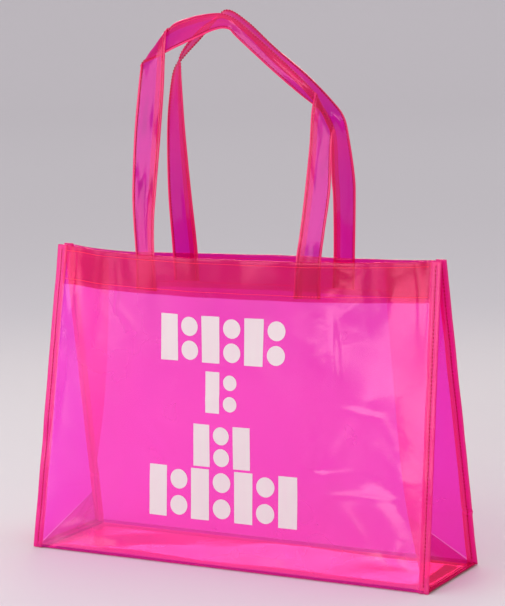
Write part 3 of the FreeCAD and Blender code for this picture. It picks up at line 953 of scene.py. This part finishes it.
# ---------------------------------------------------------------- handles
# Each strap is a flat ribbon. A row gives its outer edge and its inner edge where it bends, in millimetres,
# from the left end inside the hem, over the peak, to the right end.
STRAPS = {
    FRONT: [
        ((-92.3, -33.7, 243.5), (-68.5, -37.3, 243.5)),
        ((-93.5, -31.2, 276), (-71.5, -35.1, 276)),
        ((-96.5, -28.5, 304), (-73.5, -31, 304)),
        ((-98.6, -25.5, 332), (-73.6, -25.5, 332)),
        ((-97, -22, 382), (-74, -14.5, 382)),
        ((-95.3, -17, 418), (-71.5, -11.5, 420)),
        ((-94, -13.5, 439), (-70.6, -9, 452)),
        ((-94.2, -10.5, 443.5), (-70.3, -5.5, 473.5)),
        ((-80, -7.5, 449.5), (-69.5, -2.5, 475.5)),
        ((-61, -9, 457.5), (-63, 0, 480.5)),
        ((-38, -14, 465.5), (-42, 0, 486)),
        ((-14, -18.5, 473.6), (-20, -1, 488)),
        ((0, -19.5, 474.2), (-9, -1, 485.5)),
        ((9, -20.5, 466.8), (5, -1.5, 477.5)),
        ((42, -21, 439.5), (45, -2, 445.5)),
        ((66, -18, 419.5), (69, -6, 426.5)),
        ((85, -12, 403), (78, -9.5, 419.5)),
        ((99, -15, 388.5), (79.2, -12, 418.5)),
        ((99, -18.5, 382), (77.4, -15.5, 402)),
        ((98.5, -20.5, 366), (76.8, -19, 374)),
        ((98, -22.5, 336), (75.2, -27, 332)),
        ((95, -29, 300), (73, -32.5, 300)),
        ((92.6, -31.4, 276), (70, -35.2, 276)),
        ((92.3, -33.7, 243.5), (68.2, -37.4, 243.5)),
    ],
    BACK: [
        ((-92.3, 33.7, 243.5), (-67.7, 37.4, 243.5)),
        ((-92.3, 31.4, 276), (-67.9, 35.2, 276)),
        ((-92, 26, 327), (-67.5, 26, 327)),
        ((-88.8, 21.8, 382), (-65.5, 14.6, 382)),
        ((-84.2, 20, 415), (-63, 7, 415)),
        ((-78.6, 19.8, 437), (-61.2, 1.9, 441)),
        ((-69, 20.5, 449), (-60.5, 1.6, 452)),
        ((-50, 20.5, 466), (-46.5, 2, 469)),
        ((-33, 20, 483), (-30, 2.2, 480)),
        ((-21, 19.5, 490.3), (-15, 2.5, 483)),
        ((-1, 19.5, 479), (5, 2.5, 470)),
        ((26, 19.5, 456.3), (31, 2.5, 446)),
        ((56, 19.5, 433.3), (58, 4, 423)),
        ((80, 19.5, 411.3), (74, 7, 403)),
        ((93.5, 17, 396), (77, 13, 392)),
        ((99.3, 15, 374), (78, 20, 379)),
        ((99.5, 23, 345), (75.9, 24.3, 345)),
        ((98.5, 26, 324), (75.6, 27.5, 322)),
        ((94.4, 31.4, 276), (71.5, 35.1, 276)),
        ((92.3, 33.7, 243.5), (68.5, 37.3, 243.5)),
    ],
}
STRAP_HALF_THICK = 0.85 * MM
STRAP_STEP = 3 * MM
# Across a strap, as shares of its width from its outer edge: its stitch rows, the strip where its film laps
# over, and the middle and half width of the dense fold along each edge.
STITCH_ROWS = (0.09, 0.91)
LAP_START = 0.68
LAP_END = 0.985
EDGE_FOLDS = ((0.05, 0.05), (0.925, 0.075))
# How far the lap lies off the middle of the strap's thickness, and half the thickness of the folds.
LAP_RISE = 0.1 * MM
EDGE_HALF_THICK = 0.62 * MM
EDGE_SIDES = 10


def smooth_edge(stations, which, station, t):
    """A place on the outer edge, 0, or inner edge, 1, a share of the way from a station to the next."""
    last = len(stations) - 1
    picks = [stations[max(0, min(last, station + k))][which] for k in (-1, 0, 1, 2)]
    return Vector([catmull(*(p[axis] for p in picks), t) * MM for axis in range(3)])


def rulings(side):
    """The strap as straight lines across it, each from its outer edge to its inner edge, with its normal."""
    stations = STRAPS[side]
    edges = []
    for station in range(len(stations) - 1):
        here = stations[station]
        there = stations[station + 1]
        span = max((Vector(there[which]) - Vector(here[which])).length for which in (0, 1)) * MM
        count = max(3, int(span / STRAP_STEP))
        for k in range(count):
            edges.append([smooth_edge(stations, which, station, k / count) for which in (0, 1)])
    edges.append([Vector(edge) * MM for edge in stations[-1]])
    middles = [(outer + inner) / 2 for outer, inner in edges]
    made = []
    last_normal = None
    for i, (outer, inner) in enumerate(edges):
        along = middles[min(i + 1, len(edges) - 1)] - middles[max(i - 1, 0)]
        normal = (inner - outer).cross(along).normalized()
        # Where the strap turns over sharply, its normal turns half way only.
        if last_normal is not None and normal.dot(last_normal) < 0.2:
            normal = last_normal.lerp(normal, 0.5).normalized()
        last_normal = normal
        made.append((outer, inner, normal))
    return made


def strap_half_thickness(share, number):
    """Half the strap's thickness on one of its lines: rounded at its folds and pinched at its stitches."""
    rim = math.sqrt(max(0.0, 1 - abs(2 * share - 1) ** 10))
    full = 0.42 + 0.58 * ease((min(share, 1 - share) - 0.05) / 0.42)
    swell = 1 + 0.4 * noise.noise(Vector((share * 2.0, number * 0.13, 4.0)))
    swell += 1.0 * noise.noise(Vector((share * 6.5, number * 0.045, 9.0)))
    return STRAP_HALF_THICK * rim * full * swell


def make_strap_skin(side, lines):
    """The strap itself: a flat tube of film, with the strip where it laps over in a material of its own."""
    name = WALL_NAMES[side]
    shares = [0.5 - 0.5 * math.cos(math.pi * s) for s in spread(0, 1, 15)]
    builder = Builder()
    rings = []
    for number, (outer, inner, normal) in enumerate(lines):
        over = [outer.lerp(inner, s) + normal * strap_half_thickness(s, number) for s in shares]
        under = [outer.lerp(inner, s) - normal * strap_half_thickness(s, number) for s in shares[-2:0:-1]]
        rings.append(over + under)
    builder.tube(rings)
    skin = len(builder.faces)
    lap = []
    for outer, inner, normal in lines:
        lap.append([outer.lerp(inner, s) + normal * LAP_RISE for s in spread(LAP_START, LAP_END, 6)])
    builder.grid(lap)
    strap = builder.piece(f"{name}_strap", STRAP_FILM)
    strap.data.materials.append(STRAP_LAP_FILM)
    for face in strap.data.polygons[skin:]:
        face.material_index = 1
    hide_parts(f"{name}_handle", f"{name}_handle_tabs")
    return strap


def make_strap_stitches(side, lines):
    """The two rows of stitches along a strap, on both of its faces."""
    name = WALL_NAMES[side]
    builder = Builder()
    for share in STITCH_ROWS:
        for facing in (1, -1):
            points = []
            for number, (outer, inner, normal) in enumerate(lines):
                rise = strap_half_thickness(share, number)
                points.append(outer.lerp(inner, share) + normal * facing * rise)
            normals = [normal * facing for _, _, normal in lines]
            sew(builder, Track(points, normals), pitch=2.8 * MM, radius=0.46 * MM, rise=0.5 * MM)
    stitches = builder.piece(f"{name}_strap_stitches", THREAD)
    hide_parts(f"{name}_handle_threads")
    return stitches


def make_strap_edges(side, lines):
    """The folds along both edges of a strap, where the film is doubled and denser."""
    builder = Builder()
    for middle, reach in EDGE_FOLDS:
        rings = []
        for outer, inner, normal in lines:
            ring = []
            for turn in turns(EDGE_SIDES):
                share = middle + reach * math.cos(turn)
                ring.append(outer.lerp(inner, share) + normal * EDGE_HALF_THICK * math.sin(turn))
            rings.append(ring)
        builder.tube(rings, flip=True)
    edges = builder.piece(f"{WALL_NAMES[side]}_strap_fold_edges", STRAP_EDGE_FILM)
    return edges


def make_strap(side):
    """A handle: its strap, stitches and fold edges, each with its transform baked into its mesh."""
    lines = rulings(side)
    for make in (make_strap_skin, make_strap_stitches, make_strap_edges):
        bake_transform(make(side, lines))


for wall in (FRONT, BACK):
    make_panel(wall)
    make_hem(wall)
    make_hem_stitches(wall)
    make_strap(wall)
    for seam_end in (LEFT, RIGHT):
        make_corner_seam(wall, seam_end)
        make_gusset_leaf(wall, seam_end)
for base_end in (LEFT, RIGHT):
    make_base_seam(base_end)
    make_gusset_foot(base_end)
make_base()
make_print()


# ---------------------------------------------------------------- stage, light and camera
FLOOR_RADIUS = 7
COVE_RADIUS = 3
FLOOR_GAP = 0.05 * MM


def make_floor():
    """A wide pale floor of studio paper, which curves up all round."""
    builder = Builder()
    profile = [(radius, 0) for radius in (0.0005, 0.3, 0.8, 1.6, 3, 5, FLOOR_RADIUS)]
    for bend in spread(0.1, 1.45, 14):
        radius = FLOOR_RADIUS + COVE_RADIUS * math.sin(bend)
        profile.append((radius, COVE_RADIUS - COVE_RADIUS * math.cos(bend)))
    rings = []
    for radius, rise in profile:
        rings.append([Vector((radius * math.cos(t), radius * math.sin(t), rise)) for t in turns(96)])
    builder.grid(rings, closed=True, flip=True)
    # Painted shade near the bag and painted light far from it, in the paper's colour.
    white = paper("studio_paper", near=(0.71, 0.68, 0.71), far=(0.80, 0.77, 0.80), reach=(0.3, 5))
    floor = builder.piece("studio_floor", white)
    floor.location.z = -FLOOR_GAP


# Where the lights point: the middle of the bag.
LIGHT_TARGET = Vector((0, 0, 0.2))
# Each light: name, azimuth, elevation, distance, width and height, and power. Angles are in degrees, with
# azimuth 0 in front of the bag and 90 on its right.
SOFT_LIGHTS = [
    ("front_softbox", -8, 13, 2.6, (1.6, 0.9), 16),
    ("high_softbox", -30, 48, 2.4, (1.2, 0.7), 7),
    ("strip_softbox", 25, 13, 2.4, (0.6, 1.0), 7),
    ("left_softbox", -74, 16, 2.4, (0.5, 1.1), 5),
    ("left_front_softbox", -47, 10, 2.5, (1.0, 0.9), 8),
    ("top_softbox", 160, 74, 2.0, (1.0, 0.8), 7),
]


def direction(azimuth, elevation):
    """The unit vector from the bag towards a place at these angles from it, in radians."""
    flat = math.cos(elevation)
    return Vector((math.sin(azimuth) * flat, -math.cos(azimuth) * flat, math.sin(elevation)))


def soft_light(name, azimuth, elevation, distance, size, power, colour=(1, 1, 1), spread_angle=180):
    """A rectangular soft light aimed at the bag."""
    light = bpy.data.lights.new(name, "AREA")
    light.shape = "RECTANGLE"
    light.size, light.size_y = size
    light.energy = power
    light.color = colour
    light.spread = math.radians(spread_angle)
    lamp = bpy.data.objects.new(name, light)
    bpy.context.scene.collection.objects.link(lamp)
    back = direction(math.radians(azimuth), math.radians(elevation))
    lamp.location = LIGHT_TARGET + back * distance
    lamp.rotation_mode = "QUATERNION"
    lamp.rotation_quaternion = back.to_track_quat("Z", "Y")


def make_world():
    """Pale, even light from all round."""
    world = bpy.data.worlds.new("studio_air")
    world.use_nodes = True
    air = world.node_tree.nodes["Background"]
    air.inputs["Color"].default_value = (0.64, 0.625, 0.64, 1)
    air.inputs["Strength"].default_value = 1.0
    bpy.context.scene.world = world


CAMERA_AZIMUTH = math.radians(28.597)
CAMERA_ELEVATION = math.radians(8.184)
CAMERA_ROLL = math.radians(-1.202)
# From the middle of the bag's foot: how far back along its view the camera is, and how far aside and up.
CAMERA_DISTANCE = 2.004262
CAMERA_ASIDE = 0.001961
CAMERA_RAISED = 0.228943
CAMERA_LENS = 131.4


def make_camera():
    """The camera: a long lens, a little to the right of the bag and above it, with a small roll."""
    back = direction(CAMERA_AZIMUTH, CAMERA_ELEVATION)
    level = Vector((math.cos(CAMERA_AZIMUTH), math.sin(CAMERA_AZIMUTH), 0))
    up = back.cross(level)
    right = level * math.cos(CAMERA_ROLL) + up * math.sin(CAMERA_ROLL)
    top = up * math.cos(CAMERA_ROLL) - level * math.sin(CAMERA_ROLL)
    camera_data = bpy.data.cameras.new("camera")
    camera_data.lens = CAMERA_LENS
    camera_data.sensor_width = 36
    camera_data.clip_start = 0.05
    camera_data.clip_end = 200
    camera = bpy.data.objects.new("camera", camera_data)
    bpy.context.scene.collection.objects.link(camera)
    place = back * CAMERA_DISTANCE + right * CAMERA_ASIDE + top * CAMERA_RAISED
    turned = Matrix((right, top, back)).transposed().to_4x4()
    camera.matrix_world = Matrix.Translation(place) @ turned
    bpy.context.scene.camera = camera


make_floor()
make_world()
for soft in SOFT_LIGHTS:
    soft_light(*soft)
soft_light("rear_softbox", 207, 13.2, 2.6, (1.4, 0.3), 1.3, colour=(1, 0.8, 0.6), spread_angle=45)
make_camera()
bpy.context.scene.view_settings.view_transform = "Standard"
